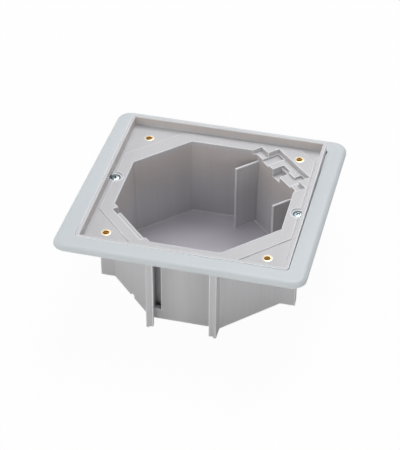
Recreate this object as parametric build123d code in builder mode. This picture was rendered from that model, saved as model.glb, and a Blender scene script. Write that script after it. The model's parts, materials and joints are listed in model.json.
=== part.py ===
from build123d import *
import os
from math import atan, cos, degrees, radians, sin

os.makedirs("parts", exist_ok=True)

# Floor socket box, without its cover. Millimetres, +Z up.
# The origin is the centre of the tray's ledge, on the ledge's top face.

# Tray and rim
rim_width = 169.4
rim_wall = 3.2
rim_height = 8.4
rim_corner_radius = 2.8
rim_outer_chamfer = 0.3
rim_inner_round = 1.0
tray_thickness = 2.5

# Raised octagonal band round the hole
band_height = 0.8
band_width = 157.0
band_corner_cut = 40.186
band_insert_corner_cut = 14.73
band_edge_round = 0.5
edge_break = 0.25

# Octagonal box
hole_across_flats = 137.0
floor_across_flats = 133.6
box_across_flats = 140.4
box_depth = 77.6
floor_thickness = 2.2
cavity_depth = 72.5
cavity_corner_round = 1.0
cavity_floor_chamfer = 0.9
foot_wall = 2.4
foot_notch_width = 6.0
foot_notch_length = 5.0

# Hooks that form a T-shaped rail on each of the four sides
hook_reach = 82.6
hook_thickness = 2.5
hook_spread = 57.8
hook_lip = 6.0
hook_lip_stop = 1.4
hook_corner_round = 0.8

# Blind recess in the front wall, beside the left hook
recess_gap = 0.4
recess_width = 6.6
recess_depth = 10.0
recess_wall = 1.6
recess_top = -10.5
recess_sill = -67.4

# Inner ribs at the two ends of the stepped corner's wall
rib_offset = 26.4
rib_thickness = 2.0
rib_top_chamfer = 0.4
back_rib_length = 21.0
back_rib_top = -8.0
side_rib_length = 18.5
side_rib_top = -12.5

# Stepped corner: two levels and an outlet notch
step_depth = 3.0
pocket_depth = 5.0
step_middle = 1.5
step_wide = 65.5
step_wide_reach = 74.7
step_narrow = 45.6
step_narrow_reach = 85.6
pocket_left_edge = -20.2
pocket_left_width = 9.2
pocket_left_reach = 84.0
pocket_right_width = 16.5
pocket_right_reach = 77.3
slot_right_edge = 14.7
slot_right_width = 7.5
slot_right_reach = 83.9
notch_middle = 0.6
notch_width = 10.0
notch_reach = 79.4
notch_depth = 10.1
notch_shelf_depth = 5.7
notch_shelf_width = 2.0
corner_wall = 2.2
corner_boss_start = 65.0

# Latch recess in the corner opposite
latch_width = 45.0
latch_reach = 73.8
latch_depth = 3.0
latch_gap = 3.5
latch_gap_depth = 6.0

# Brass inserts
insert_spacing = 130.0
insert_radius = 3.6
insert_length = 9.0
insert_bore_radius = 2.1
insert_mouth_chamfer = 0.35
insert_boss_wall = 2.0

# Clamp screws and the seats for their heads
screw_radius = 2.0
screw_reach = 77.7
screw_offset = 5.5
screw_length = 62.0
screw_tip_chamfer = 0.7
head_radius = 3.7
head_height = 2.6
head_chamfer = 0.8
cross_width = 1.1
cross_span = 4.6
cross_depth = 1.7
cross_draft = 12.0
left_cross_turn = 15.0
right_cross_turn = 55.0
running_clearance = 0.08
seat_radius = 4.5
seat_ring_radius = 6.2
seat_ring_height = 3.0
seat_slot_width = 5.6
seat_slot_reach = 5.6
seat_slot_depth = 5.0
screw_boss_radius = 6.5
screw_boss_depth = 7.0

# Push-on clips
clip_gap = 0.1
clip_thickness = 0.6
clip_radius = 4.0
clip_slot_count = 4
clip_slot_width = 0.7
clip_slot_length = 1.1

# Sliders
slider_top = -14.0
slider_height = 12.0
slider_clearance = 0.3
slider_nose_clearance = 0.6
slider_bore_clearance = 0.3
slider_pocket_length = 9.0
slider_pocket_depth = 9.0
slider_wall = 2.0

# Square nuts
nut_width = 7.0
nut_height = 2.2
nut_clearance = 0.1
nut_thread_clearance = 0.06

# Clamp arms
arm_thickness = 3.0
arm_width = 8.0
arm_eye_radius = 5.0
arm_reach = 19.6
arm_bore_clearance = 0.3
arm_seat_gap = 0.2
toe_length = 3.0
toe_height = 3.0
tooth_count = 3
tooth_gap = 0.9
stop_length = 2.0
stop_clearance = 0.3
park_stop_ahead = 7.0

# Trim frame, which lies loose round the rim, turned a little and lower at the back
frame_border = 15.2
frame_thickness = 4.5
frame_corner_radius = 12.0
frame_edge_round = 4.0
frame_gap = 0.5
frame_shift_right = 0.2
frame_shift_front = 0.1
frame_turn = 0.13
frame_drop_angle = 2.65
frame_rise = -0.35
frame_skin = 2.2
frame_lip = 2.2
frame_rib_thickness = 1.4
frame_rib_spacing = 40.0

# How far a cut or a joined piece runs past the face that it starts from
overrun = 1.0
corner_cut_overrun = 9.0

# Values worked out from those above
ledge = 0.0
tray_underside = -tray_thickness
foot = -box_depth
cavity_floor = -cavity_depth
rim_inner = rim_width - 2 * rim_wall
cavity_draft = degrees(
    atan((hole_across_flats - floor_across_flats) / 2 / (cavity_depth + band_height))
)
box_wall_face = box_across_flats / 2
hook_inner_face = hook_reach - hook_thickness
hook_web_face = hook_spread / 2 - hook_thickness
insert_half = insert_spacing / 2
frame_opening = rim_width + 2 * frame_gap
frame_width = frame_opening + 2 * frame_border
notch_left = notch_middle - notch_width / 2
notch_right = notch_middle + notch_width / 2
octagon_turn = 22.5
to_insert_corner = Axis((0, 0, 0), (1, 1, 0))


def corner_plane(height):
    """Local x runs along the stepped corner's wall, local y points out to the corner."""
    return Plane(origin=(0, 0, height), x_dir=(1, -1, 0), z_dir=(0, 0, 1))


def side_plane(outward, height):
    """Local x points out of the left (-1) or right (1) side."""
    return Plane(origin=(0, 0, height), x_dir=(outward, 0, 0), z_dir=(0, 0, 1))


def octagon(across_flats):
    return RegularPolygon(
        across_flats / 2, 8, major_radius=False, rotation=octagon_turn
    )


def strip(left, right, inner, outer):
    """A rectangle given by its four edges."""
    with Locations(((left + right) / 2, (inner + outer) / 2)):
        return Rectangle(right - left, outer - inner)


def finish(piece, name):
    piece.part.label = name
    export_step(piece.part, f"parts/{name}.step")


# One side's pair of hooks, looking out along local x, and the part of them that is lip only
with BuildSketch() as hook_pair:
    for hand in (-1, 1):
        low, high = sorted((hand * hook_spread / 2, hand * hook_web_face))
        strip(box_wall_face - overrun, hook_reach, low, high)
        low, high = sorted((hand * hook_spread / 2, hand * (hook_spread / 2 - hook_lip)))
        strip(hook_inner_face, hook_reach, low, high)
    hook_corners = hook_pair.vertices().sort_by(Axis.X)[-4:]
    outermost = hook_corners.sort_by(Axis.Y)
    fillet([outermost[0], outermost[-1]], hook_corner_round)
with BuildSketch() as hook_lips:
    for hand in (-1, 1):
        low, high = sorted((hand * hook_web_face, hand * (hook_spread / 2 - hook_lip)))
        strip(hook_inner_face, hook_reach, low, high)

# The band's outline: a square with three long cut corners and one short one
with BuildSketch() as band_outline:
    Rectangle(band_width, band_width)
    plain_corners = band_outline.vertices().sort_by(to_insert_corner)[:-1]
    chamfer(plain_corners, band_corner_cut)
    insert_corner = band_outline.vertices().sort_by(to_insert_corner)[-1]
    chamfer(insert_corner, band_insert_corner_cut)

# The stepped corner's upper level, a wide and a narrow part
inner = hole_across_flats / 2 - corner_cut_overrun
with BuildSketch() as step_outline:
    half = step_wide / 2
    strip(step_middle - half, step_middle + half, inner, step_wide_reach)
    half = step_narrow / 2
    strip(step_middle - half, step_middle + half, inner, step_narrow_reach)

# The cavity: an octagon that narrows downwards, with rounded corners
with BuildPart() as cavity:
    with BuildSketch(Plane.XY.offset(cavity_floor)):
        octagon(floor_across_flats)
    extrude(amount=cavity_depth + band_height, taper=-cavity_draft)
    fillet(cavity.edges().group_by(Axis.Z)[1], cavity_corner_round)
    chamfer(cavity.faces().sort_by(Axis.Z)[0].edges(), cavity_floor_chamfer)

with BuildPart() as box_body:
    # Tray, rim and band
    with BuildSketch(Plane.XY.offset(tray_underside)):
        RectangleRounded(rim_width, rim_width, rim_corner_radius)
    extrude(amount=tray_thickness)
    with BuildSketch(Plane.XY.offset(ledge)):
        RectangleRounded(rim_width, rim_width, rim_corner_radius)
        Rectangle(rim_inner, rim_inner, mode=Mode.SUBTRACT)
    extrude(amount=rim_height)
    rim_top = box_body.faces().sort_by(Axis.Z)[-1]
    chamfer(rim_top.outer_wire().edges(), rim_outer_chamfer)
    rim_top = box_body.faces().sort_by(Axis.Z)[-1]
    fillet(rim_top.inner_wires()[0].edges(), rim_inner_round)
    with BuildSketch(Plane.XY.offset(ledge)):
        add(band_outline.sketch)
    extrude(amount=band_height)
    band_top = box_body.faces(Select.LAST).sort_by(Axis.Z)[-1]
    fillet(band_top.edges(), band_edge_round)

    # Octagonal box with its rails
    with BuildSketch(Plane.XY.offset(foot)):
        octagon(box_across_flats)
        with PolarLocations(0, 4):
            add(hook_pair.sketch)
    extrude(amount=box_depth - tray_thickness)
    with BuildSketch(Plane.XY.offset(foot)):
        with PolarLocations(0, 4):
            add(hook_lips.sketch)
    extrude(amount=hook_lip_stop, mode=Mode.SUBTRACT)

    # Bosses under the tray: inserts, screws, stepped corner and latch
    with BuildSketch(Plane.XY.offset(tray_underside)):
        with GridLocations(insert_spacing, insert_spacing, 2, 2):
            Circle(insert_radius + insert_boss_wall)
    extrude(amount=tray_thickness - insert_length - insert_boss_wall)
    for outward in (-1, 1):
        with BuildSketch(side_plane(outward, tray_underside)):
            with Locations((screw_reach, -screw_offset)):
                Circle(screw_boss_radius)
            strip(
                box_wall_face - overrun,
                screw_reach,
                -screw_offset - screw_boss_radius,
                -screw_offset + screw_boss_radius,
            )
        extrude(amount=tray_thickness - screw_boss_depth)
    with BuildSketch(corner_plane(tray_underside)):
        half = step_wide / 2 + corner_wall
        reach = step_wide_reach + corner_wall
        strip(step_middle - half, step_middle + half, corner_boss_start, reach)
        half = step_narrow / 2 + corner_wall
        reach = step_narrow_reach + corner_wall
        strip(step_middle - half, step_middle + half, corner_boss_start, reach)
    extrude(amount=tray_thickness - pocket_depth - corner_wall)
    with BuildSketch(corner_plane(-pocket_depth)):
        reach = notch_reach + corner_wall
        strip(notch_left - corner_wall, notch_right + corner_wall, corner_boss_start, reach)
    extrude(amount=pocket_depth - notch_depth - corner_wall)
    with BuildSketch(corner_plane(tray_underside)):
        half = latch_width / 2 + corner_wall
        strip(-half, half, -latch_reach - corner_wall, overrun - box_wall_face)
    extrude(amount=tray_thickness - latch_gap_depth - corner_wall)

    # Cavity, and the hollow under the floor that leaves a foot with a drain notch
    add(cavity.part, mode=Mode.SUBTRACT)
    with BuildSketch(Plane.XY.offset(band_height)):
        octagon(hole_across_flats + 2 * edge_break)
    extrude(amount=-edge_break, taper=45, mode=Mode.SUBTRACT)
    foot_height = box_depth - cavity_depth - floor_thickness
    with BuildSketch(Plane.XY.offset(foot)):
        octagon(box_across_flats - 2 * foot_wall)
    extrude(amount=foot_height, mode=Mode.SUBTRACT)
    with BuildSketch(corner_plane(foot)):
        half = foot_notch_width / 2
        strip(-half, half, -box_wall_face - overrun, foot_notch_length - box_wall_face)
    extrude(amount=foot_height, mode=Mode.SUBTRACT)

    # Recess beside the left front hook: boxed in behind the wall, open through it above a sill
    recess_left = -hook_web_face + recess_gap
    recess_right = recess_left + recess_width
    recess_back = recess_depth - box_wall_face
    with BuildSketch(Plane.XY.offset(cavity_floor - overrun)):
        strip(
            recess_left - recess_wall,
            recess_right + recess_wall,
            overrun - box_wall_face,
            recess_back + recess_wall,
        )
    extrude(amount=recess_top + recess_wall - cavity_floor + overrun)
    with BuildSketch(Plane.XY.offset(cavity_floor)):
        strip(recess_left, recess_right, -floor_across_flats / 2, recess_back)
    extrude(amount=recess_top - cavity_floor, mode=Mode.SUBTRACT)
    with BuildSketch(Plane.XY.offset(recess_sill)):
        strip(recess_left, recess_right, -box_wall_face - overrun, recess_back)
    extrude(amount=recess_top - recess_sill, mode=Mode.SUBTRACT)

    # Ribs that stand out from the two ends of the stepped corner's wall
    wall_at_floor = floor_across_flats / 2
    ribs = ((-1, back_rib_length, back_rib_top), (1, side_rib_length, side_rib_top))
    for side, length, top in ribs:
        with BuildSketch(corner_plane(cavity_floor - overrun)):
            middle = side * rib_offset
            half = rib_thickness / 2
            strip(middle - half, middle + half, wall_at_floor - length, box_wall_face - overrun)
        extrude(amount=top - cavity_floor + overrun)
        rib_face = box_body.faces(Select.LAST).sort_by(Axis.Z)[-1]
        free_edges = rib_face.edges().sort_by(to_insert_corner)[:-1]
        chamfer(free_edges, rib_top_chamfer)

    # Stepped corner
    above = band_height + overrun
    with BuildSketch(corner_plane(-step_depth)):
        add(step_outline.sketch)
    extrude(amount=step_depth + above, mode=Mode.SUBTRACT)
    with BuildSketch(corner_plane(band_height)):
        add(step_outline.sketch)
        offset(amount=edge_break, kind=Kind.INTERSECTION)
    extrude(amount=-edge_break, taper=45, mode=Mode.SUBTRACT)
    with BuildSketch(corner_plane(-pocket_depth)):
        strip(pocket_left_edge, pocket_left_edge + pocket_left_width, inner, pocket_left_reach)
        strip(notch_middle, notch_right + pocket_right_width, inner, pocket_right_reach)
        strip(slot_right_edge, slot_right_edge + slot_right_width, inner, slot_right_reach)
    extrude(amount=pocket_depth + above, mode=Mode.SUBTRACT)
    with BuildSketch(corner_plane(-notch_shelf_depth)):
        strip(notch_left, notch_right, inner, notch_reach)
    extrude(amount=notch_shelf_depth + above, mode=Mode.SUBTRACT)
    with BuildSketch(corner_plane(-notch_depth)):
        strip(notch_left, notch_right, inner, notch_reach - notch_shelf_width)
    extrude(amount=notch_depth + above, mode=Mode.SUBTRACT)

    # Latch recess with a gap at each end
    with BuildSketch(corner_plane(-latch_depth)):
        strip(-latch_width / 2, latch_width / 2, -latch_reach, -inner)
    extrude(amount=latch_depth + above, mode=Mode.SUBTRACT)
    with BuildSketch(corner_plane(-latch_gap_depth)):
        gap_start = latch_width / 2 - latch_gap
        strip(-latch_width / 2, -gap_start, -latch_reach, -inner)
        strip(gap_start, latch_width / 2, -latch_reach, -inner)
    extrude(amount=latch_gap_depth + above, mode=Mode.SUBTRACT)

    # Insert holes
    with BuildSketch(Plane.XY.offset(above)):
        with GridLocations(insert_spacing, insert_spacing, 2, 2):
            Circle(insert_radius)
    extrude(amount=-above - insert_length, mode=Mode.SUBTRACT)

    # Screw seats: a ring that also hollows the rim's foot, the head's seat, a blind slot and
    # the shank's hole
    for outward in (-1, 1):
        with BuildSketch(side_plane(outward, ledge)):
            with Locations((screw_reach, -screw_offset)):
                Circle(seat_ring_radius)
        extrude(amount=seat_ring_height, mode=Mode.SUBTRACT)
        with BuildSketch(side_plane(outward, ledge)):
            with Locations((screw_reach, -screw_offset)):
                Circle(seat_radius)
        extrude(amount=-head_height, mode=Mode.SUBTRACT)
        with BuildSketch(side_plane(outward, ledge)):
            strip(
                screw_reach + head_radius,
                screw_reach + seat_slot_reach,
                -screw_offset - seat_slot_width / 2,
                -screw_offset + seat_slot_width / 2,
            )
        extrude(amount=-seat_slot_depth, mode=Mode.SUBTRACT)
        with BuildSketch(side_plane(outward, ledge)):
            with Locations((screw_reach, -screw_offset)):
                Circle(screw_radius + running_clearance)
        extrude(amount=-screw_boss_depth - overrun, mode=Mode.SUBTRACT)

finish(box_body, "box_body")

# Brass inserts, flush with the face they sit in
for depth_side, y_sign in (("back", 1), ("front", -1)):
    for width_side, x_sign in (("left", -1), ("right", 1)):
        on_band = x_sign > 0 and y_sign > 0
        insert_top = band_height if on_band else ledge
        place = Plane(origin=(x_sign * insert_half, y_sign * insert_half, insert_top))
        with BuildPart() as insert:
            with BuildSketch(place):
                Circle(insert_radius)
                Circle(insert_bore_radius, mode=Mode.SUBTRACT)
            extrude(amount=-insert_length)
            mouth = insert.faces().sort_by(Axis.Z)[-1].inner_wires()[0]
            chamfer(mouth.edges(), insert_mouth_chamfer)
        finish(insert, f"insert_{depth_side}_{width_side}")

# The clamp on the left and right side: screw, clip, slider, nut and arm
boss_bottom = -screw_boss_depth
arm_bottom = slider_top + arm_seat_gap
nut_top = slider_top - nut_clearance
wing_half = hook_web_face - slider_clearance
nose_half = hook_spread / 2 - hook_lip - slider_nose_clearance
slider_back = box_wall_face + slider_clearance
slider_front = hook_inner_face - slider_clearance
nose_front = hook_reach - slider_clearance
screw_place = (screw_reach, -screw_offset)

for side, outward, cross_turn in (("left", -1, left_cross_turn), ("right", 1, right_cross_turn)):
    # Pan head with a cross recess, and a plain shank
    with BuildPart() as screw:
        with BuildSketch(side_plane(outward, -head_height)):
            with Locations(screw_place):
                Circle(head_radius)
        extrude(amount=head_height)
        chamfer(screw.faces().sort_by(Axis.Z)[-1].edges(), head_chamfer)
        with BuildSketch(side_plane(outward, -head_height)):
            with Locations(screw_place):
                Circle(screw_radius)
        extrude(amount=-screw_length)
        chamfer(screw.faces().sort_by(Axis.Z)[0].edges(), screw_tip_chamfer)
        with BuildSketch(side_plane(outward, ledge)):
            with Locations(screw_place):
                Rectangle(cross_span, cross_width, rotation=cross_turn)
                Rectangle(cross_width, cross_span, rotation=cross_turn)
        extrude(amount=-cross_depth, taper=cross_draft, mode=Mode.SUBTRACT)
    finish(screw, f"clamp_screw_{side}")

    # Push-on clip: a thin ring with slots that leave teeth against the shank
    with BuildPart() as clip:
        with BuildSketch(side_plane(outward, boss_bottom - clip_gap)):
            with Locations(screw_place):
                Circle(clip_radius)
                Circle(screw_radius, mode=Mode.SUBTRACT)
                with PolarLocations(screw_radius, clip_slot_count):
                    Rectangle(2 * clip_slot_length, clip_slot_width, mode=Mode.SUBTRACT)
        extrude(amount=-clip_thickness)
    finish(clip, f"screw_clip_{side}")

    # Slider: wings behind the hook lips, a nose between them, the nut's pocket and two stops
    with BuildPart() as slider:
        with BuildSketch(side_plane(outward, slider_top)):
            strip(slider_back, slider_front, -wing_half, wing_half)
            strip(slider_back, nose_front, -nose_half, nose_half)
        extrude(amount=-slider_height)
        with BuildSketch(side_plane(outward, slider_top)):
            with Locations(screw_place):
                Rectangle(nut_width + 2 * nut_clearance, nut_width + 2 * nut_clearance)
        extrude(amount=-nut_height - 2 * nut_clearance, mode=Mode.SUBTRACT)
        with BuildSketch(side_plane(outward, slider_top)):
            with Locations(screw_place):
                Circle(screw_radius + slider_bore_clearance)
        extrude(amount=-slider_height, mode=Mode.SUBTRACT)
        with BuildSketch(side_plane(outward, slider_top)):
            for hand in (-1, 1):
                near = hand * (wing_half - slider_wall - slider_pocket_length)
                far = hand * (wing_half - slider_wall)
                low, high = sorted((near, far))
                strip(slider_back + slider_wall, slider_front - slider_wall, low, high)
        extrude(amount=-slider_pocket_depth, mode=Mode.SUBTRACT)
        with BuildSketch(side_plane(outward, slider_top)):
            out_stop = -screw_offset - arm_width / 2 - stop_clearance
            strip(nose_front - stop_length, nose_front, out_stop - stop_length, out_stop)
            park_stop = screw_reach - arm_width / 2 - stop_clearance
            park_stop_start = park_stop_ahead - screw_offset
            strip(slider_back, park_stop, park_stop_start, park_stop_start + stop_length)
        extrude(amount=arm_seat_gap + arm_thickness)
    finish(slider, f"clamp_slider_{side}")

    with BuildPart() as nut:
        with BuildSketch(side_plane(outward, nut_top)):
            with Locations(screw_place):
                Rectangle(nut_width, nut_width)
                Circle(screw_radius + nut_thread_clearance, mode=Mode.SUBTRACT)
        extrude(amount=-nut_height)
    finish(nut, f"clamp_nut_{side}")

    # Arm, parked along the side, with an upturned toothed toe
    with BuildPart() as arm:
        arm_near = screw_reach - arm_width / 2
        arm_far = screw_reach + arm_width / 2
        toe_end = -screw_offset + arm_reach
        with BuildSketch(side_plane(outward, arm_bottom)):
            with Locations(screw_place):
                Circle(arm_eye_radius)
            strip(arm_near, arm_far, -screw_offset, toe_end)
        extrude(amount=arm_thickness)
        with BuildSketch(side_plane(outward, arm_bottom + arm_thickness)):
            strip(arm_near, arm_far, toe_end - toe_length, toe_end)
        extrude(amount=toe_height)
        with BuildSketch(side_plane(outward, arm_bottom + arm_thickness + toe_height)):
            with Locations((screw_reach, toe_end - toe_length / 2)):
                with GridLocations(arm_width / tooth_count, 1, tooth_count - 1, 1):
                    Rectangle(tooth_gap, toe_length)
        extrude(amount=-toe_height / 2, mode=Mode.SUBTRACT)
        with BuildSketch(side_plane(outward, arm_bottom)):
            with Locations(screw_place):
                Circle(screw_radius + arm_bore_clearance)
        extrude(amount=arm_thickness, mode=Mode.SUBTRACT)
    finish(arm, f"clamp_arm_{side}")

# Trim frame on its own plane
turn = radians(frame_turn)
drop = radians(frame_drop_angle)
frame_plane = Plane(
    origin=(frame_shift_right, -frame_shift_front, frame_rise),
    x_dir=(cos(turn), -sin(turn), 0),
    z_dir=(sin(turn) * sin(drop), cos(turn) * sin(drop), cos(drop)),
)
frame_axis = Axis(frame_plane.origin, frame_plane.z_dir)
with BuildPart() as trim_frame:
    with BuildSketch(frame_plane):
        RectangleRounded(frame_width, frame_width, frame_corner_radius)
    extrude(amount=frame_thickness)
    fillet(trim_frame.faces().sort_by(frame_axis)[-1].edges(), frame_edge_round)
    with BuildSketch(frame_plane):
        opening_radius = rim_corner_radius + frame_gap
        RectangleRounded(frame_opening, frame_opening, opening_radius)
    extrude(amount=frame_thickness, mode=Mode.SUBTRACT)
    # Hollow underside with an inner and an outer lip and stiffening ribs
    with BuildSketch(frame_plane):
        hollow_outer = frame_width - 2 * frame_lip
        hollow_inner = frame_opening + 2 * frame_lip
        RectangleRounded(hollow_outer, hollow_outer, frame_corner_radius - frame_lip)
        RectangleRounded(hollow_inner, hollow_inner, opening_radius, mode=Mode.SUBTRACT)
        ribs_a_side = int(frame_opening // frame_rib_spacing)
        rib_reach = (hollow_outer + hollow_inner) / 4
        with PolarLocations(0, 4):
            with Locations((rib_reach, 0)):
                with GridLocations(1, frame_rib_spacing, 1, ribs_a_side):
                    Rectangle(hollow_outer - hollow_inner, frame_rib_thickness, mode=Mode.SUBTRACT)
    extrude(amount=frame_thickness - frame_skin, mode=Mode.SUBTRACT)
finish(trim_frame, "trim_frame")
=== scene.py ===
import json
import math

import bmesh
import bpy
from mathutils import Matrix, Vector


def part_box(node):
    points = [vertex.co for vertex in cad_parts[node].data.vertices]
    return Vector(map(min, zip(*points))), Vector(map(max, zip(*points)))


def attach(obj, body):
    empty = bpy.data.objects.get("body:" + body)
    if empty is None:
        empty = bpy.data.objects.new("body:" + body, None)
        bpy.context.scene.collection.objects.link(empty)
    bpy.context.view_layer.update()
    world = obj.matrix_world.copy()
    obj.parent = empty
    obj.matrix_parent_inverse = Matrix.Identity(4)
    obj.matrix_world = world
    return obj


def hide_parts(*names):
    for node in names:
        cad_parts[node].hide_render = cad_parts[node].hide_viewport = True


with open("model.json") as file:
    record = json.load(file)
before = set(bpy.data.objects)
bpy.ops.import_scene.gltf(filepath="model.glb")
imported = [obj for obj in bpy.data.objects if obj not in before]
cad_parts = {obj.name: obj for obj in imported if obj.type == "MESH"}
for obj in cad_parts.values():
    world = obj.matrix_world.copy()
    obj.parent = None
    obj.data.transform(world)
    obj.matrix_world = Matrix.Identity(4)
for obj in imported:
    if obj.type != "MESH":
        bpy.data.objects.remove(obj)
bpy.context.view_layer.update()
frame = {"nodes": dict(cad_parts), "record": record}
scene = bpy.context.scene
mm = 0.001
turnSteps = 48
mergeDistance = 0.002 * mm
sharpAngle = math.radians(40)

# The photograph's camera: place, turn and focal length fitted to the object's edges
cameraView = {
    "place": (0.232174, -0.980212, 0.790941),
    "right": (0.97126889, 0.23795103, 0.0040055),
    "up": (-0.15347747, 0.61342387, 0.77469725),
    "back": (0.18188294, -0.75305409, 0.63231964),
    "sensorWidth": 36.0,
    "lens": 126.106,
    "nearest": 0.01,
    "farthest": 20.0,
}

# Soft lamps round the box: most of the light comes down from behind, as in the photograph
studio = {
    "floorHeight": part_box("box_body")[0].z - 0.1 * mm,
    "floorSize": 6.0,
    "floorColor": (0.86, 0.86, 0.86),
    "floorGlow": 0.96,
    "skyColor": (1.0, 1.0, 1.0),
    "skyLight": 0.03,
    "lamps": {
        "topBackLamp": {"place": (0.2, 1.0, 1.6), "size": 1.2, "watts": 20.2, "tint": (0.965, 0.978, 1.0)},
        "topLamp": {"place": (-0.3, 0.0, 1.8), "size": 1.6, "watts": 9.4, "tint": (0.98, 0.982, 1.0)},
        "leftLamp": {"place": (-1.7, 0.0, 0.6), "size": 1.2, "watts": 6.6, "tint": (1.0, 0.99, 0.97)},
        "frontRightLamp": {"place": (1.4, -0.9, 0.5), "size": 1.1, "watts": 6.2, "tint": (1.0, 0.99, 0.975)},
        "frontLeftLamp": {"place": (-1.1, -1.3, 0.8), "size": 1.0, "watts": 5.6, "tint": (1.0, 0.98, 0.96)},
        "frontLowLamp": {"place": (0.0, -1.6, 0.15), "size": 0.8, "watts": 6.6, "tint": (1.0, 0.995, 0.98)},
        "backLamp": {"place": (0.0, 1.8, 0.8), "size": 1.2, "watts": 2.6, "tint": (1.0, 1.0, 1.0)},
    },
}


def makeCamera():
    data = bpy.data.cameras.new("photoCamera")
    data.sensor_width = cameraView["sensorWidth"]
    data.lens = cameraView["lens"]
    data.clip_start = cameraView["nearest"]
    data.clip_end = cameraView["farthest"]
    camera = bpy.data.objects.new("photoCamera", data)
    scene.collection.objects.link(camera)
    turn = Matrix((cameraView["right"], cameraView["up"], cameraView["back"])).transposed()
    camera.matrix_world = Matrix.Translation(cameraView["place"]) @ turn.to_4x4()
    scene.camera = camera


def addNode(tree, kind, **values):
    node = tree.nodes.new(kind)
    for name, value in values.items():
        setattr(node, name, value)
    return node


def link(tree, source, target):
    tree.links.new(source, target)


def setInputs(node, values):
    for name, value in values.items():
        node.inputs[name].default_value = value


def scaleValue(tree, source, amount):
    scale = addNode(tree, "ShaderNodeMath", operation="MULTIPLY")
    scale.inputs[1].default_value = amount
    link(tree, source, scale.inputs[0])
    return scale.outputs[0]


def joinValues(tree, operation, first, second):
    join = addNode(tree, "ShaderNodeMath", operation=operation)
    link(tree, first, join.inputs[0])
    link(tree, second, join.inputs[1])
    return join.outputs[0]


# Maps low to 0 and high to 1; low may be the larger of the two
def makeRamp(tree, source, low, high):
    ramp = addNode(tree, "ShaderNodeMapRange")
    setInputs(ramp, {"From Min": low, "From Max": high})
    link(tree, source, ramp.inputs["Value"])
    return ramp.outputs["Result"]


def makeFloor():
    data = bpy.data.meshes.new("floor")
    shape = bmesh.new()
    bmesh.ops.create_grid(shape, x_segments=1, y_segments=1, size=studio["floorSize"] / 2)
    bmesh.ops.translate(shape, verts=shape.verts, vec=(0, 0, studio["floorHeight"]))
    shape.to_mesh(data)
    shape.free()
    floor = bpy.data.objects.new("floor", data)
    scene.collection.objects.link(floor)
    material = bpy.data.materials.new("paleFloor")
    material.use_nodes = True
    tree = material.node_tree
    tree.nodes.clear()
    output = addNode(tree, "ShaderNodeOutputMaterial")
    matt = addNode(tree, "ShaderNodeBsdfDiffuse")
    setInputs(matt, {"Color": (*studio["floorColor"], 1)})
    glow = addNode(tree, "ShaderNodeEmission")
    path = addNode(tree, "ShaderNodeLightPath")
    mix = addNode(tree, "ShaderNodeMixShader")
    link(tree, scaleValue(tree, path.outputs["Is Camera Ray"], studio["floorGlow"]), mix.inputs["Fac"])
    link(tree, matt.outputs[0], mix.inputs[1])
    link(tree, glow.outputs[0], mix.inputs[2])
    link(tree, mix.outputs[0], output.inputs["Surface"])
    data.materials.append(material)


def makeSky():
    world = bpy.data.worlds.new("studioSky")
    scene.world = world
    world.use_nodes = True
    tree = world.node_tree
    tree.nodes.clear()
    output = addNode(tree, "ShaderNodeOutputWorld")
    sky = addNode(tree, "ShaderNodeBackground")
    setInputs(sky, {"Color": (*studio["skyColor"], 1)})
    path = addNode(tree, "ShaderNodeLightPath")
    direct = joinValues(tree, "MAXIMUM", path.outputs["Is Camera Ray"], path.outputs["Is Glossy Ray"])
    seen = joinValues(tree, "MAXIMUM", direct, path.outputs["Is Transmission Ray"])
    strength = addNode(tree, "ShaderNodeMapRange")
    setInputs(strength, {"To Min": studio["skyLight"], "To Max": 1.0})
    link(tree, seen, strength.inputs["Value"])
    link(tree, strength.outputs["Result"], sky.inputs["Strength"])
    link(tree, sky.outputs[0], output.inputs["Surface"])


def makeLamp(name, values):
    data = bpy.data.lights.new(name, "AREA")
    data.shape = "DISK"
    data.size = values["size"]
    data.energy = values["watts"]
    data.color = values["tint"]
    lamp = bpy.data.objects.new(name, data)
    scene.collection.objects.link(lamp)
    lamp.location = values["place"]
    lamp.rotation_euler = Vector(values["place"]).to_track_quat("Z", "Y").to_euler()
    lamp.visible_camera = False


makeCamera()
makeFloor()
makeSky()
for lampName, lampValues in studio["lamps"].items():
    makeLamp(lampName, lampValues)
scene.view_settings.view_transform = "Standard"
print("camera, floor and lamps are in place")


def newGroup(name, inputs, outputs):
    group = bpy.data.node_groups.new(name, "ShaderNodeTree")
    for socketName, value in inputs.items():
        socket = group.interface.new_socket(name=socketName, in_out="INPUT", socket_type="NodeSocketFloat")
        socket.default_value = value
    for socketName in outputs:
        group.interface.new_socket(name=socketName, in_out="OUTPUT", socket_type="NodeSocketFloat")
    start = addNode(group, "NodeGroupInput")
    end = addNode(group, "NodeGroupOutput")
    return group, start, end


# What the shared patterns and the shader keep in every material; scales count per metre
patterns = {
    "grain": {"Detail": 3.0, "Roughness": 0.6},
    "mottle": {"Detail": 4.0, "Distortion": 0.6},
    "scuffs": {"Scale": 220.0, "Detail": 5.0},
    "lines": {"Scale": 1.0, "Detail": 3.0},
    "scuffRange": (0.55, 0.75),
    "lineRange": (0.3, 0.7),
    "paintSamples": 8,
    # The edge ramp sets the painted highlight on outer edges, the corner ramp the painted shade in inner
    # corners
    "edgeRange": (0.99, 0.86),
    "cornerRange": (0.85, 0.4),
    "ior": 1.5,
}


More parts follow.
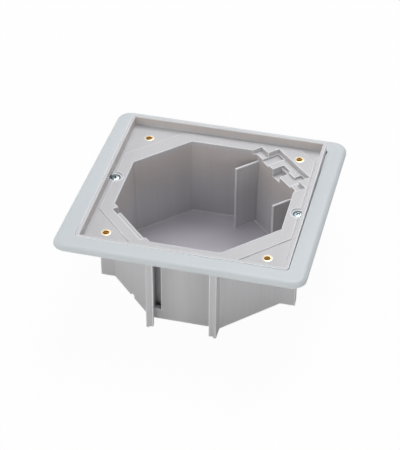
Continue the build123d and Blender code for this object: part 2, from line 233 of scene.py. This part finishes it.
# Fine mould grain, slow clouding of the colour, and scattered rubbed places
def makeGrainGroup():
    group, start, end = newGroup(
        "mouldedGrain", {"Grain Scale": 1800.0, "Mottle Scale": 35.0}, ("Grain", "Mottle", "Scuffs"))
    place = addNode(group, "ShaderNodeTexCoord")
    grain = addNode(group, "ShaderNodeTexNoise")
    mottle = addNode(group, "ShaderNodeTexNoise")
    scuffs = addNode(group, "ShaderNodeTexNoise")
    setInputs(grain, patterns["grain"])
    setInputs(mottle, patterns["mottle"])
    setInputs(scuffs, patterns["scuffs"])
    for noise in (grain, mottle, scuffs):
        link(group, place.outputs["Object"], noise.inputs["Vector"])
    link(group, start.outputs["Grain Scale"], grain.inputs["Scale"])
    link(group, start.outputs["Mottle Scale"], mottle.inputs["Scale"])
    link(group, grain.outputs["Fac"], end.inputs["Grain"])
    link(group, mottle.outputs["Fac"], end.inputs["Mottle"])
    link(group, makeRamp(group, scuffs.outputs["Fac"], *patterns["scuffRange"]), end.inputs["Scuffs"])
    return group


# Marks that the mould leaves along its draw, up and down the walls
def makeDrawGroup():
    group, start, end = newGroup("drawMarks", {"Across": 420.0, "Along": 9.0}, ("Lines",))
    place = addNode(group, "ShaderNodeTexCoord")
    stretch = addNode(group, "ShaderNodeCombineXYZ")
    scaled = addNode(group, "ShaderNodeVectorMath", operation="MULTIPLY")
    lines = addNode(group, "ShaderNodeTexNoise")
    setInputs(lines, patterns["lines"])
    link(group, start.outputs["Across"], stretch.inputs["X"])
    link(group, start.outputs["Across"], stretch.inputs["Y"])
    link(group, start.outputs["Along"], stretch.inputs["Z"])
    link(group, place.outputs["Object"], scaled.inputs[0])
    link(group, stretch.outputs["Vector"], scaled.inputs[1])
    link(group, scaled.outputs["Vector"], lines.inputs["Vector"])
    link(group, makeRamp(group, lines.outputs["Fac"], *patterns["lineRange"]), end.inputs["Lines"])
    return group


# Painted highlights on outer edges and painted shade in inner corners
def makePaintedLightGroup():
    group, start, end = newGroup(
        "paintedEdgeLightAndCornerShade", {"Edge Width": 0.0006, "Corner Width": 0.0016}, ("Edges", "Corner Shade"))
    samples = patterns["paintSamples"]
    edge = addNode(group, "ShaderNodeAmbientOcclusion", samples=samples, inside=True, only_local=True)
    corner = addNode(group, "ShaderNodeAmbientOcclusion", samples=samples, only_local=True)
    link(group, start.outputs["Edge Width"], edge.inputs["Distance"])
    link(group, start.outputs["Corner Width"], corner.inputs["Distance"])
    link(group, makeRamp(group, edge.outputs["AO"], *patterns["edgeRange"]), end.inputs["Edges"])
    link(group, makeRamp(group, corner.outputs["AO"], *patterns["cornerRange"]), end.inputs["Corner Shade"])
    return group


grainGroup = makeGrainGroup()
drawGroup = makeDrawGroup()
paintedLightGroup = makePaintedLightGroup()


def mixColor(tree, factor, first, second):
    mix = addNode(tree, "ShaderNodeMix", data_type="RGBA")
    link(tree, factor, mix.inputs["Factor"])
    for socket, color in (("A", first), ("B", second)):
        if isinstance(color, tuple):
            mix.inputs[socket].default_value = (*color, 1)
        else:
            link(tree, color, mix.inputs[socket])
    return mix.outputs["Result"]


# Walls that face inwards are browner near the mouth and round the rim, and the floor is cooler
def addPlaceTones(tree, color, values):
    place = addNode(tree, "ShaderNodeTexCoord")
    split = addNode(tree, "ShaderNodeSeparateXYZ")
    facing = addNode(tree, "ShaderNodeSeparateXYZ")
    steepness = addNode(tree, "ShaderNodeMath", operation="ABSOLUTE")
    inward = addNode(tree, "ShaderNodeVectorMath", operation="DOT_PRODUCT")
    link(tree, place.outputs["Object"], split.inputs[0])
    link(tree, place.outputs["Normal"], facing.inputs[0])
    link(tree, facing.outputs["Z"], steepness.inputs[0])
    link(tree, place.outputs["Object"], inward.inputs[0])
    link(tree, place.outputs["Normal"], inward.inputs[1])
    height = split.outputs["Z"]
    rise = makeRamp(tree, height, *values["warmRise"])
    fall = makeRamp(tree, height, *values["warmFall"])
    mouth = joinValues(tree, "MULTIPLY", rise, fall)
    warm = joinValues(tree, "MAXIMUM", mouth, makeRamp(tree, height, *values["warmRim"]))
    upright = makeRamp(tree, steepness.outputs[0], *values["warmUpright"])
    turnedIn = makeRamp(tree, inward.outputs["Value"], *values["warmInward"])
    walls = joinValues(tree, "MULTIPLY", joinValues(tree, "MULTIPLY", warm, upright), turnedIn)
    color = mixColor(tree, scaleValue(tree, walls, values["warmAmount"]), color, values["warmColor"])
    deep = makeRamp(tree, height, *values["floorHeights"])
    level = makeRamp(tree, facing.outputs["Z"], *values["floorLevel"])
    floor = joinValues(tree, "MULTIPLY", deep, level)
    return mixColor(tree, scaleValue(tree, floor, values["floorAmount"]), color, values["floorColor"])


# A painted highlight: a pale line where the floor of the box meets its walls
def addPaintedFloorHighlight(tree, color, corners, values):
    place = addNode(tree, "ShaderNodeTexCoord")
    split = addNode(tree, "ShaderNodeSeparateXYZ")
    link(tree, place.outputs["Object"], split.inputs[0])
    height = split.outputs["Z"]
    low, high = values["seamHeight"]
    fadeBelow, fadeAbove = values["seamFade"]
    above = makeRamp(tree, height, low, low + fadeBelow)
    below = makeRamp(tree, height, high + fadeAbove, high)
    line = joinValues(tree, "MULTIPLY", above, below)
    seam = joinValues(tree, "MULTIPLY", line, makeRamp(tree, corners, *values["seamCorner"]))
    return mixColor(tree, scaleValue(tree, seam, values["seamHighlightAmount"]), color, values["seamHighlightColor"])


# Shared by the plastics and the metals: grain, clouding, draw marks, painted edge highlights and painted
# corner shade on one Principled shader
def makeFinish(name, values):
    material = bpy.data.materials.new(name)
    material.use_nodes = True
    tree = material.node_tree
    shader = tree.nodes["Principled BSDF"]
    setInputs(shader, {
        "Metallic": values["metallic"], "IOR": patterns["ior"], "Specular IOR Level": values["specular"]})
    pattern = addNode(tree, "ShaderNodeGroup", node_tree=grainGroup)
    setInputs(pattern, {"Grain Scale": values["grainScale"], "Mottle Scale": values["mottleScale"]})
    draw = addNode(tree, "ShaderNodeGroup", node_tree=drawGroup)
    setInputs(draw, {"Across": values["linesAcross"], "Along": values["linesAlong"]})
    edgeAndCornerPaint = addNode(tree, "ShaderNodeGroup", node_tree=paintedLightGroup)
    setInputs(edgeAndCornerPaint, {"Edge Width": values["edgeWidth"], "Corner Width": values["cornerWidth"]})
    color = mixColor(tree, pattern.outputs["Mottle"], values["darkColor"], values["paleColor"])
    lines = scaleValue(tree, draw.outputs["Lines"], values["linesAmount"])
    color = mixColor(tree, lines, color, values["linesColor"])
    if "warmColor" in values:
        color = addPlaceTones(tree, color, values)
    # Painted shade darkens the inner corners
    corners = scaleValue(tree, edgeAndCornerPaint.outputs["Corner Shade"], values["cornerShadeAmount"])
    color = mixColor(tree, corners, color, values["cornerShadeColor"])
    if "seamHeight" in values:
        color = addPaintedFloorHighlight(tree, color, edgeAndCornerPaint.outputs["Corner Shade"], values)
    # Painted highlight lightens the outer edges
    edges = scaleValue(tree, edgeAndCornerPaint.outputs["Edges"], values["edgeHighlightAmount"])
    color = mixColor(tree, edges, color, values["edgeHighlightColor"])
    rough = addNode(tree, "ShaderNodeMapRange")
    smoothest, roughest = values["roughness"]
    setInputs(rough, {"To Min": smoothest, "To Max": roughest})
    bump = addNode(tree, "ShaderNodeBump")
    setInputs(bump, {"Strength": values["grainStrength"], "Distance": values["grainDepth"]})
    link(tree, color, shader.inputs["Base Color"])
    link(tree, pattern.outputs["Scuffs"], rough.inputs["Value"])
    link(tree, rough.outputs["Result"], shader.inputs["Roughness"])
    link(tree, pattern.outputs["Grain"], bump.inputs["Height"])
    link(tree, bump.outputs["Normal"], shader.inputs["Normal"])
    return material


# The finishes: heights, widths, depths and fades are in metres
# In each finish the edge colour is a painted highlight and the corner colour is painted shade
bodyPlastic = makeFinish("bodyPlastic", {
    "darkColor": (0.588, 0.584, 0.598), "paleColor": (0.624, 0.620, 0.636),
    "linesColor": (0.480, 0.477, 0.480), "linesAmount": 0.22, "linesAcross": 420.0, "linesAlong": 9.0,
    "warmColor": (0.570, 0.510, 0.480), "warmAmount": 0.6,
    "warmRise": (-0.046, -0.016), "warmFall": (0.0, -0.005), "warmRim": (0.0012, 0.0024),
    "warmUpright": (0.6, 0.2), "warmInward": (-0.020, -0.050), "floorLevel": (0.7, 0.95),
    "floorColor": (0.602, 0.578, 0.640), "floorAmount": 0.8, "floorHeights": (-0.070, -0.0722),
    "edgeHighlightColor": (0.880, 0.885, 0.900), "edgeHighlightAmount": 1.0, "edgeWidth": 0.00078,
    "cornerShadeColor": (0.420, 0.410, 0.410), "cornerShadeAmount": 0.25, "cornerWidth": 0.0016,
    # The seam values paint a highlight along the foot of the inner walls
    "seamHeight": (-0.0725, -0.0716), "seamFade": (0.0001, 0.0003), "seamCorner": (0.0, 0.25),
    "seamHighlightColor": (0.930, 0.925, 0.950), "seamHighlightAmount": 1.0,
    "metallic": 0.0, "roughness": (0.40, 0.52), "specular": 0.4,
    "grainScale": 2500.0, "mottleScale": 30.0, "grainStrength": 0.25, "grainDepth": 0.00003,
})
framePlastic = makeFinish("framePlastic", {
    "darkColor": (0.590, 0.632, 0.650), "paleColor": (0.620, 0.662, 0.682),
    "linesColor": (0.540, 0.585, 0.605), "linesAmount": 0.10, "linesAcross": 260.0, "linesAlong": 40.0,
    "edgeHighlightColor": (0.760, 0.795, 0.810), "edgeHighlightAmount": 0.50, "edgeWidth": 0.0007,
    "cornerShadeColor": (0.440, 0.480, 0.490), "cornerShadeAmount": 0.20, "cornerWidth": 0.0014,
    "metallic": 0.0, "roughness": (0.36, 0.48), "specular": 0.45,
    "grainScale": 3200.0, "mottleScale": 24.0, "grainStrength": 0.2, "grainDepth": 0.00003,
})
sliderPlastic = makeFinish("sliderPlastic", {
    "darkColor": (0.040, 0.040, 0.043), "paleColor": (0.055, 0.055, 0.060),
    "linesColor": (0.070, 0.070, 0.075), "linesAmount": 0.2, "linesAcross": 600.0, "linesAlong": 30.0,
    "edgeHighlightColor": (0.150, 0.150, 0.155), "edgeHighlightAmount": 0.5, "edgeWidth": 0.0005,
    "cornerShadeColor": (0.020, 0.020, 0.021), "cornerShadeAmount": 0.4, "cornerWidth": 0.0010,
    "metallic": 0.0, "roughness": (0.4, 0.55), "specular": 0.5,
    "grainScale": 2000.0, "mottleScale": 50.0, "grainStrength": 0.3, "grainDepth": 0.00004,
})
brass = makeFinish("turnedBrass", {
    "darkColor": (0.840, 0.560, 0.230), "paleColor": (0.960, 0.720, 0.380),
    "linesColor": (0.780, 0.500, 0.200), "linesAmount": 0.2, "linesAcross": 1500.0, "linesAlong": 4000.0,
    "edgeHighlightColor": (1.0, 0.900, 0.660), "edgeHighlightAmount": 0.7, "edgeWidth": 0.00025,
    "cornerShadeColor": (0.420, 0.230, 0.070), "cornerShadeAmount": 0.6, "cornerWidth": 0.0006,
    "metallic": 1.0, "roughness": (0.20, 0.32), "specular": 0.5,
    "grainScale": 900.0, "mottleScale": 300.0, "grainStrength": 0.1, "grainDepth": 0.00002,
})
shadedBrass = makeFinish("shadedBrass", {
    "darkColor": (0.200, 0.090, 0.025), "paleColor": (0.380, 0.190, 0.055),
    "linesColor": (0.140, 0.060, 0.015), "linesAmount": 0.3, "linesAcross": 1500.0, "linesAlong": 4000.0,
    "edgeHighlightColor": (0.900, 0.560, 0.220), "edgeHighlightAmount": 0.5, "edgeWidth": 0.0002,
    "cornerShadeColor": (0.080, 0.035, 0.010), "cornerShadeAmount": 0.7, "cornerWidth": 0.0006,
    "metallic": 1.0, "roughness": (0.30, 0.42), "specular": 0.5,
    "grainScale": 900.0, "mottleScale": 300.0, "grainStrength": 0.1, "grainDepth": 0.00002,
})
zincSteel = makeFinish("zincSteel", {
    "darkColor": (0.400, 0.520, 0.560), "paleColor": (0.600, 0.720, 0.760),
    "linesColor": (0.560, 0.650, 0.700), "linesAmount": 0.2, "linesAcross": 900.0, "linesAlong": 900.0,
    "edgeHighlightColor": (0.820, 0.900, 0.930), "edgeHighlightAmount": 0.6, "edgeWidth": 0.00025,
    "cornerShadeColor": (0.260, 0.300, 0.330), "cornerShadeAmount": 0.7, "cornerWidth": 0.0008,
    "metallic": 1.0, "roughness": (0.20, 0.34), "specular": 0.5,
    "grainScale": 1200.0, "mottleScale": 250.0, "grainStrength": 0.1, "grainDepth": 0.00002,
})
# Painted shade for the cross recess of the screw heads
recessPaintedShade = makeFinish("recessPaintedShade", {
    "darkColor": (0.050, 0.070, 0.080), "paleColor": (0.120, 0.150, 0.165),
    "linesColor": (0.030, 0.040, 0.045), "linesAmount": 0.3, "linesAcross": 900.0, "linesAlong": 900.0,
    "edgeHighlightColor": (0.300, 0.340, 0.360), "edgeHighlightAmount": 0.3, "edgeWidth": 0.0002,
    "cornerShadeColor": (0.020, 0.025, 0.028), "cornerShadeAmount": 0.7, "cornerWidth": 0.0010,
    "metallic": 1.0, "roughness": (0.40, 0.55), "specular": 0.5,
    "grainScale": 1500.0, "mottleScale": 600.0, "grainStrength": 0.2, "grainDepth": 0.00002,
})
materialOf = {
    "body_plastic": bodyPlastic, "frame_plastic": framePlastic, "slider_plastic": sliderPlastic,
    "brass": brass, "zinc_steel": zincSteel,
}
for part in frame["record"]["subparts"]:
    node = frame["nodes"][part["node"]]
    node.data.materials.clear()
    node.data.materials.append(materialOf[part["material_slot"]])
print("materials are on the parts")


def addProfile(shape, points, closed=False):
    verts = [shape.verts.new((radius * mm, 0, height * mm)) for radius, height in points]
    edges = [shape.edges.new(pair) for pair in zip(verts, verts[1:])]
    if closed:
        edges.append(shape.edges.new((verts[-1], verts[0])))
    return verts + edges


def turnProfile(shape, points, closed=False):
    bmesh.ops.spin(
        shape, geom=addProfile(shape, points, closed), cent=(0, 0, 0), axis=(0, 0, 1), dvec=(0, 0, 0),
        angle=math.tau, steps=turnSteps, use_merge=True, use_duplicate=False)
    bmesh.ops.remove_doubles(shape, verts=shape.verts, dist=mergeDistance)
    bmesh.ops.recalc_face_normals(shape, faces=shape.faces)


# The ridge goes from root to crest and back, at these shares of the pitch
threadForm = {"crestStart": 0.375, "crestEnd": 0.5, "rootStart": 0.875, "fadeTurns": 1.5}


# One turn is spun and repeated along the axis, and both ends fade into the wall
def addThread(shape, values, inside=False):
    pitch, root, crest, low = values["pitch"], values["root"], values["crest"], values["bottom"]
    turns = int((values["top"] - low) / pitch) - 1
    crestStart, crestEnd, rootStart = (
        low + threadForm[place] * pitch for place in ("crestStart", "crestEnd", "rootStart"))
    thread = bmesh.new()
    ridge = addProfile(thread, (
        (root, low), (crest, crestStart), (crest, crestEnd), (root, rootStart), (root, low + pitch)))
    bmesh.ops.spin(
        thread, geom=ridge, cent=(0, 0, 0), axis=(0, 0, 1), dvec=(0, 0, pitch * mm / values["steps"]),
        angle=math.tau, steps=values["steps"], use_merge=False, use_duplicate=False)
    oneTurn = [*thread.verts, *thread.edges, *thread.faces]
    for turn in range(1, turns):
        copy = bmesh.ops.duplicate(thread, geom=oneTurn)["geom"]
        moved = [item for item in copy if isinstance(item, bmesh.types.BMVert)]
        bmesh.ops.translate(thread, verts=moved, vec=(0, 0, turn * pitch * mm))
    top = max(vert.co.z for vert in thread.verts)
    fadeLength = threadForm["fadeTurns"] * pitch * mm
    for vert in thread.verts:
        fade = min(1.0, (vert.co.z - low * mm) / fadeLength, (top - vert.co.z) / fadeLength)
        radius = math.hypot(vert.co.x, vert.co.y)
        wanted = root * mm + (radius - root * mm) * fade
        vert.co.x *= wanted / radius
        vert.co.y *= wanted / radius
    bmesh.ops.remove_doubles(thread, verts=thread.verts, dist=mergeDistance)
    thread.faces.ensure_lookup_table()
    sample = thread.faces[len(thread.faces) // 2]
    sample.normal_update()
    middle = sample.calc_center_median()
    outward = sample.normal.x * middle.x + sample.normal.y * middle.y > 0
    if outward == inside:
        bmesh.ops.reverse_faces(thread, faces=thread.faces)
    data = bpy.data.meshes.new("thread")
    thread.to_mesh(data)
    thread.free()
    shape.from_mesh(data)
    bpy.data.meshes.remove(data)


def makePiece(name, shape, materials, body):
    data = bpy.data.meshes.new(name)
    shape.to_mesh(data)
    shape.free()
    for face in data.polygons:
        face.use_smooth = True
    data.set_sharp_from_angle(angle=sharpAngle)
    for material in materials:
        data.materials.append(material)
    piece = bpy.data.objects.new(name, data)
    scene.collection.objects.link(piece)
    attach(piece, body)
    return piece


# The two clamp screws: a pan head with a cross recess, and a long shank with a fine thread
screwSize = {
    "headRadius": 3.7, "headHeight": 2.6, "headBreak": 0.12, "neckFlare": 0.25,
    # Share of the head's radius, and the drop below the top of the head
    "headCurve": ((0.35, 0.05), (0.62, 0.20), (0.80, 0.42), (0.92, 0.75), (0.98, 1.10), (1.0, 1.50)),
    "shankRadius": 1.72, "length": 64.6, "tipRadius": 1.1, "tipLength": 0.8,
    "recessSpan": 4.8, "recessWidth": 1.25, "recessDepth": 1.8, "recessLift": 0.1,
    "recessFoot": (0.45, 0.60, 1.0),
    "thread": {"root": 1.68, "crest": 2.0, "top": -3.4, "bottom": -63.9, "pitch": 0.7, "steps": 18},
    "turns": {"left": 15.0, "right": 55.0},
}


# The recess is cut with two tapered blades, which leave their painted-shade material on the faces they cut,
# so the cross reads dark
def cutRecess(shape, turn):
    blades = []
    for angle in (turn, turn + 90):
        blade = bmesh.new()
        bmesh.ops.create_cube(blade, size=1.0)
        bmesh.ops.scale(blade, verts=blade.verts, vec=(
            screwSize["recessSpan"] * mm, screwSize["recessWidth"] * mm, screwSize["recessDepth"] * mm))
        foot = [vert for vert in blade.verts if vert.co.z < 0]
        drop = screwSize["recessLift"] - screwSize["recessDepth"] / 2
        bmesh.ops.translate(blade, verts=blade.verts, vec=(0, 0, drop * mm))
        bmesh.ops.scale(blade, verts=foot, vec=screwSize["recessFoot"])
        turning = Matrix.Rotation(math.radians(angle), 3, "Z")
        bmesh.ops.rotate(blade, verts=blade.verts, cent=(0, 0, 0), matrix=turning)
        data = bpy.data.meshes.new("recessBlade")
        blade.to_mesh(data)
        blade.free()
        data.materials.append(recessPaintedShade)
        blades.append(bpy.data.objects.new("recessBlade", data))
    data = bpy.data.meshes.new("screwBlank")
    shape.to_mesh(data)
    data.materials.append(zincSteel)
    blank = bpy.data.objects.new("screwBlank", data)
    for item in (blank, *blades):
        scene.collection.objects.link(item)
    for blade in blades:
        cut = blank.modifiers.new("recess", "BOOLEAN")
        cut.operation = "DIFFERENCE"
        cut.solver = "EXACT"
        cut.material_mode = "TRANSFER"
        cut.object = blade
    bpy.context.view_layer.update()
    result = bpy.data.meshes.new_from_object(blank.evaluated_get(bpy.context.evaluated_depsgraph_get()))
    shape.clear()
    shape.from_mesh(result)
    for item in (blank, *blades):
        bpy.data.objects.remove(item)


def makeScrew(side):
    low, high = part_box("clamp_screw_" + side)
    reach, height, trim = screwSize["headRadius"], screwSize["headHeight"], screwSize["headBreak"]
    core, length, neck = screwSize["shankRadius"], screwSize["length"], screwSize["neckFlare"]
    head = [(share * reach, -drop) for share, drop in screwSize["headCurve"]]
    shape = bmesh.new()
    turnProfile(shape, (
        (0, 0), *head, (reach, trim - height), (reach - trim, -height), (core + neck, -height),
        (core, -height - neck), (core, screwSize["tipLength"] - length), (screwSize["tipRadius"], -length),
        (0, -length)))
    cutRecess(shape, screwSize["turns"][side])
    addThread(shape, screwSize["thread"])
    bmesh.ops.translate(shape, verts=shape.verts, vec=((low.x + high.x) / 2, (low.y + high.y) / 2, high.z))
    piece = makePiece("screw" + side.title(), shape, (zincSteel, recessPaintedShade), "screw_" + side)
    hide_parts("clamp_screw_" + side)


for side in ("left", "right"):
    makeScrew(side)
print("screws are made")

# The brass inserts: a turned bush with a broken edge and a thread down its bore
insertSize = {
    "outerRadius": 3.6, "boreRadius": 2.5, "depth": 9.0, "rimBreak": 0.3, "rimSoften": 0.09,
    "mouthBreak": 0.35, "shadeReach": 0.1,
    "thread": {"root": 2.52, "crest": 2.1, "top": -0.2, "bottom": -8.8, "pitch": 0.8, "steps": 24},
}


def makeInsert(corner):
    low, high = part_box("insert_" + corner)
    outer, bore, depth = insertSize["outerRadius"], insertSize["boreRadius"], insertSize["depth"]
    rim, soften, mouth = insertSize["rimBreak"], insertSize["rimSoften"], insertSize["mouthBreak"]
    shape = bmesh.new()
    turnProfile(shape, (
        (outer, -depth), (outer, -rim), (outer - soften, -soften), (outer - rim, 0),
        (bore + mouth, 0), (bore, -mouth), (bore, -depth)), closed=True)
    addThread(shape, insertSize["thread"], inside=True)
    # The bore takes the second material, which is darker
    for face in shape.faces:
        middle = face.calc_center_median()
        inBore = math.hypot(middle.x, middle.y) < (bore + insertSize["shadeReach"]) * mm
        face.material_index = int(inBore and middle.z < -mouth * mm)
    bmesh.ops.translate(shape, verts=shape.verts, vec=((low.x + high.x) / 2, (low.y + high.y) / 2, high.z))
    name = "".join(word.title() for word in corner.split("_"))
    piece = makePiece("insert" + name, shape, (brass, shadedBrass), "box")
    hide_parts("insert_" + corner)


for corner in ("back_left", "back_right", "front_left", "front_right"):
    makeInsert(corner)
print("inserts are made")

bpy.context.view_layer.update()
